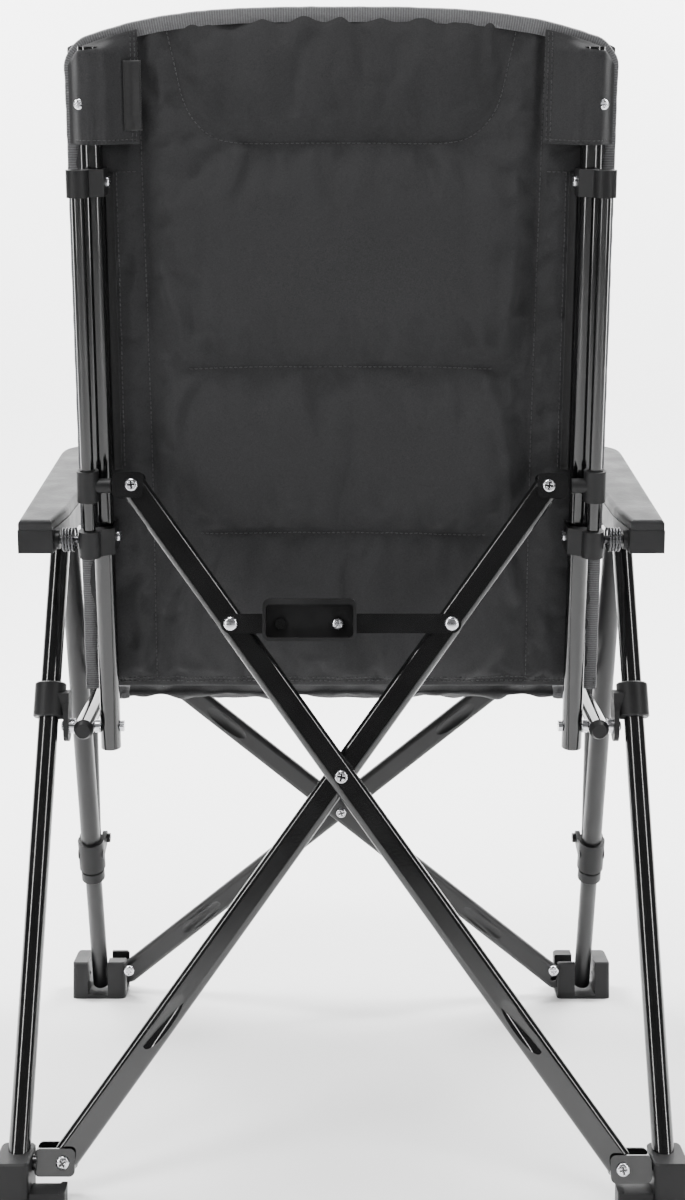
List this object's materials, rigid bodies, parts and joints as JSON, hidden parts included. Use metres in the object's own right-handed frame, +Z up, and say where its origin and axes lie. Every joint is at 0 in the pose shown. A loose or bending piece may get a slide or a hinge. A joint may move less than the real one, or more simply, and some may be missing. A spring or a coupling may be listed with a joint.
{
  "type": "folding camping recliner",
  "caption": "Folding high-back camping recliner: padded back and seat on a steel tube frame with crossed tubes, toggle lock and reclining arms.",
  "frame": {"origin": "on the floor, under the middle of the chair's bounding box", "axes": "+Z up, the sitter faces -Y, +X is the sitter's left side"},
  "size_m": [0.6494, 0.57, 1.0864],
  "materials": {
    "gloss_black_steel": "gloss",
    "satin_black_steel": "satin",
    "bracket_steel": "gloss",
    "zinc_steel": "bright zinc",
    "spring_steel": "black",
    "black_nylon": "fine grain",
    "arm_plastic": "fine grain",
    "arm_cover": "soft touch",
    "padded_fabric": "plain weave polyester"
  },
  "bodies": {
    "frame_left": {"rear_leg_left": "gloss_black_steel", "front_leg_left": "satin_black_steel", "apex_bracket_left": "bracket_steel", "leg_collars_left": "black_nylon", "pivot_bolt_left": "zinc_steel", "rear_foot_left": "black_nylon"},
    "foot_bracket_left": {"foot_bracket_left": "bracket_steel"},
    "rear_x_b": {"rear_tube_b": "gloss_black_steel", "slider_bracket_right": "bracket_steel"},
    "rear_x_a": {"rear_tube_a": "gloss_black_steel", "slider_bracket_left": "bracket_steel"},
    "foot_bracket_right": {"foot_bracket_right": "bracket_steel"},
    "frame_right": {"rear_leg_right": "gloss_black_steel", "front_leg_right": "satin_black_steel", "apex_bracket_right": "bracket_steel", "leg_collars_right": "black_nylon", "pivot_bolt_right": "zinc_steel", "rear_foot_right": "black_nylon"},
    "front_x_b": {"front_tube_b": "satin_black_steel", "seat_bracket_right": "bracket_steel"},
    "front_x_a": {"front_tube_a": "satin_black_steel", "seat_bracket_left": "bracket_steel"},
    "lock_left": {"lock_link_left": "bracket_steel", "lock_handle": "black_nylon"},
    "lock_right": {"lock_link_right": "bracket_steel"},
    "front_foot_left": {"front_foot_left": "black_nylon"},
    "front_sleeve_left": {"front_sleeve_left": "black_nylon"},
    "seat_strut_left": {"seat_strut_left": "satin_black_steel"},
    "seat_rail_left": {"seat_rail_left": "gloss_black_steel", "rail_caps_left": "black_nylon", "seat_panel": "padded_fabric"},
    "back_left": {"back_post_left": "gloss_black_steel", "guide_rod_left": "gloss_black_steel", "arm_mount_left": "black_nylon", "guide_head_left": "black_nylon", "post_bolts_left": "zinc_steel", "back_panel": "padded_fabric"},
    "slider_liner_left": {"slider_liner_left": "black_nylon"},
    "slider_collar_left": {"slider_collar_left": "black_nylon"},
    "arm_left": {"arm_shell_left": "arm_plastic", "arm_pad_left": "arm_cover", "arm_spring_left": "spring_steel"},
    "front_foot_right": {"front_foot_right": "black_nylon"},
    "front_sleeve_right": {"front_sleeve_right": "black_nylon"},
    "seat_strut_right": {"seat_strut_right": "satin_black_steel"},
    "seat_rail_right": {"seat_rail_right": "gloss_black_steel", "rail_caps_right": "black_nylon"},
    "back_right": {"back_post_right": "gloss_black_steel", "guide_rod_right": "gloss_black_steel", "arm_mount_right": "black_nylon", "guide_head_right": "black_nylon", "post_bolts_right": "zinc_steel"},
    "slider_liner_right": {"slider_liner_right": "black_nylon"},
    "slider_collar_right": {"slider_collar_right": "black_nylon"},
    "arm_right": {"arm_shell_right": "arm_plastic", "arm_pad_right": "arm_cover", "arm_spring_right": "spring_steel"}
  },
  "joints": [
    {"name": "foot_tilt_left", "type": "hinge", "parent": "frame_left", "child": "foot_bracket_left", "pos_m": [0.27, 0.26, 0.033], "axis": [-1, 0, 0], "range_deg": [0, 10.5]},
    {"name": "fold", "type": "hinge", "parent": "foot_bracket_left", "child": "rear_x_b", "pos_m": [0.25101, 0.25206, 0.03205], "axis": [-0.1408, 0.9862, 0.0871], "range_deg": [0, 24.49], "deforming": ["back_panel", "seat_panel"]},
    {"name": "rear_cross", "type": "hinge", "parent": "rear_x_b", "child": "rear_x_a", "pos_m": [0, 0.21954, 0.37231], "axis": [0, -0.993, -0.1184], "range_deg": [0, 54.8]},
    {"name": "rear_foot_fold_right", "type": "hinge", "parent": "rear_x_a", "child": "foot_bracket_right", "pos_m": [-0.25101, 0.26794, 0.03395], "axis": [0.1408, 0.9862, 0.0871], "range_deg": [0, 24.59]},
    {"name": "foot_tilt_right", "type": "hinge", "parent": "foot_bracket_right", "child": "frame_right", "pos_m": [-0.27, 0.26, 0.033], "axis": [1, 0, 0], "range_deg": [0, 10.5]},
    {"name": "front_foot_tilt_left", "type": "hinge", "parent": "frame_left", "child": "front_foot_left", "pos_m": [0.291, -0.22, 0.023], "axis": [-1, 0, 0], "range_deg": [0, 5.6]},
    {"name": "sleeve_slide_left", "type": "slide", "parent": "frame_left", "child": "front_sleeve_left", "axis": [0, 0.3759, 0.9267], "range_m": [0, 0.1712]},
    {"name": "strut_hinge_left", "type": "hinge", "parent": "front_sleeve_left", "child": "seat_strut_left", "pos_m": [0.291, -0.176, 0.199], "axis": [-1, 0, 0], "range_deg": [0, 3.5]},
    {"name": "seat_fold_left", "type": "hinge", "parent": "frame_left", "child": "seat_rail_left", "pos_m": [0.255, 0.112, 0.394], "axis": [-1, 0, 0], "range_deg": [0, 41]},
    {"name": "back_recline", "type": "hinge", "parent": "frame_left", "child": "back_left", "pos_m": [0.23, 0.112, 0.394], "axis": [-1, 0, 0], "range_deg": [0, 20]},
    {"name": "arm_swing_left", "type": "hinge", "parent": "back_left", "child": "arm_left", "pos_m": [0.27, 0.17845, 0.58639], "axis": [1, 0, 0], "range_deg": [0, 12.4]},
    {"name": "liner_slide_left", "type": "slide", "parent": "back_left", "child": "slider_liner_left", "axis": [0, 0.2079, 0.9781], "range_m": [0, 0.0526]},
    {"name": "collar_slide_left", "type": "slide", "parent": "slider_liner_left", "child": "slider_collar_left", "axis": [0, 0.2079, 0.9781], "range_m": [0, 0.1422]},
    {"name": "front_foot_tilt_right", "type": "hinge", "parent": "frame_right", "child": "front_foot_right", "pos_m": [-0.291, -0.22, 0.023], "axis": [-1, 0, 0], "range_deg": [0, 5.6]},
    {"name": "sleeve_slide_right", "type": "slide", "parent": "frame_right", "child": "front_sleeve_right", "axis": [0, 0.3759, 0.9267], "range_m": [0, 0.1712]},
    {"name": "strut_hinge_right", "type": "hinge", "parent": "front_sleeve_right", "child": "seat_strut_right", "pos_m": [-0.291, -0.176, 0.199], "axis": [-1, 0, 0], "range_deg": [0, 3.5]},
    {"name": "seat_fold_right", "type": "hinge", "parent": "frame_right", "child": "seat_rail_right", "pos_m": [-0.255, 0.112, 0.394], "axis": [-1, 0, 0], "range_deg": [0, 41]},
    {"name": "back_recline_right", "type": "hinge", "parent": "frame_right", "child": "back_right", "pos_m": [-0.23, 0.112, 0.394], "axis": [-1, 0, 0], "range_deg": [0, 20]},
    {"name": "arm_swing_right", "type": "hinge", "parent": "back_right", "child": "arm_right", "pos_m": [-0.27, 0.17845, 0.58639], "axis": [1, 0, 0], "range_deg": [0, 12.4]},
    {"name": "liner_slide_right", "type": "slide", "parent": "back_right", "child": "slider_liner_right", "axis": [0, 0.2079, 0.9781], "range_m": [0, 0.0526]},
    {"name": "collar_slide_right", "type": "slide", "parent": "slider_liner_right", "child": "slider_collar_right", "axis": [0, 0.2079, 0.9781], "range_m": [0, 0.1422]},
    {"name": "front_x_fold", "type": "hinge", "parent": "front_foot_left", "child": "front_x_b", "pos_m": [0.25442, -0.22797, 0.02364], "axis": [0, 0.9968, -0.0802], "range_deg": [0, 36.1]},
    {"name": "front_cross", "type": "hinge", "parent": "front_x_b", "child": "front_x_a", "pos_m": [0, -0.20365, 0.22617], "axis": [0, -0.9968, 0.0802], "range_deg": [0, 78.2]},
    {"name": "lock_swing_left", "type": "hinge", "parent": "rear_x_a", "child": "lock_left", "pos_m": [0.10242, 0.20303, 0.51075], "axis": [0, 0.993, 0.1184], "range_deg": [0, 108.4]},
    {"name": "lock_swing_right", "type": "hinge", "parent": "rear_x_b", "child": "lock_right", "pos_m": [-0.10242, 0.20303, 0.51075], "axis": [0, -0.993, -0.1184], "range_deg": [0, 96.1]}
  ],
  "couplings": [
    {"joint": "foot_tilt_left", "follows": "back_recline", "ratio": 0.51},
    {"joint": "rear_cross", "follows": "fold", "ratio": 2.2297},
    {"joint": "rear_foot_fold_right", "follows": "fold", "ratio": 1},
    {"joint": "foot_tilt_right", "follows": "back_recline", "ratio": 0.51},
    {"joint": "front_foot_tilt_left", "follows": "fold", "ratio": 0.22582},
    {"joint": "sleeve_slide_left", "follows": "fold", "m_per_rad": 0.4001},
    {"joint": "strut_hinge_left", "follows": "fold", "ratio": 0.13844},
    {"joint": "seat_fold_left", "follows": "fold", "ratio": 1.6657},
    {"joint": "arm_swing_left", "follows": "back_recline", "ratio": 0.6125},
    {"joint": "liner_slide_left", "follows": "back_recline", "m_per_rad": 0.15011},
    {"joint": "collar_slide_left", "follows": "fold", "m_per_rad": 0.33224},
    {"joint": "front_foot_tilt_right", "follows": "fold", "ratio": 0.22582},
    {"joint": "sleeve_slide_right", "follows": "fold", "m_per_rad": 0.4001},
    {"joint": "strut_hinge_right", "follows": "fold", "ratio": 0.13844},
    {"joint": "seat_fold_right", "follows": "fold", "ratio": 1.6657},
    {"joint": "back_recline_right", "follows": "back_recline", "ratio": 1},
    {"joint": "arm_swing_right", "follows": "back_recline", "ratio": 0.6125},
    {"joint": "liner_slide_right", "follows": "back_recline", "m_per_rad": 0.15011},
    {"joint": "collar_slide_right", "follows": "fold", "m_per_rad": 0.33224},
    {"joint": "front_x_fold", "follows": "fold", "ratio": 1.4697},
    {"joint": "front_cross", "follows": "fold", "ratio": 3.1889},
    {"joint": "lock_swing_left", "follows": "fold", "ratio": 4.4185},
    {"joint": "lock_swing_right", "follows": "fold", "ratio": 3.9162}
  ]
}
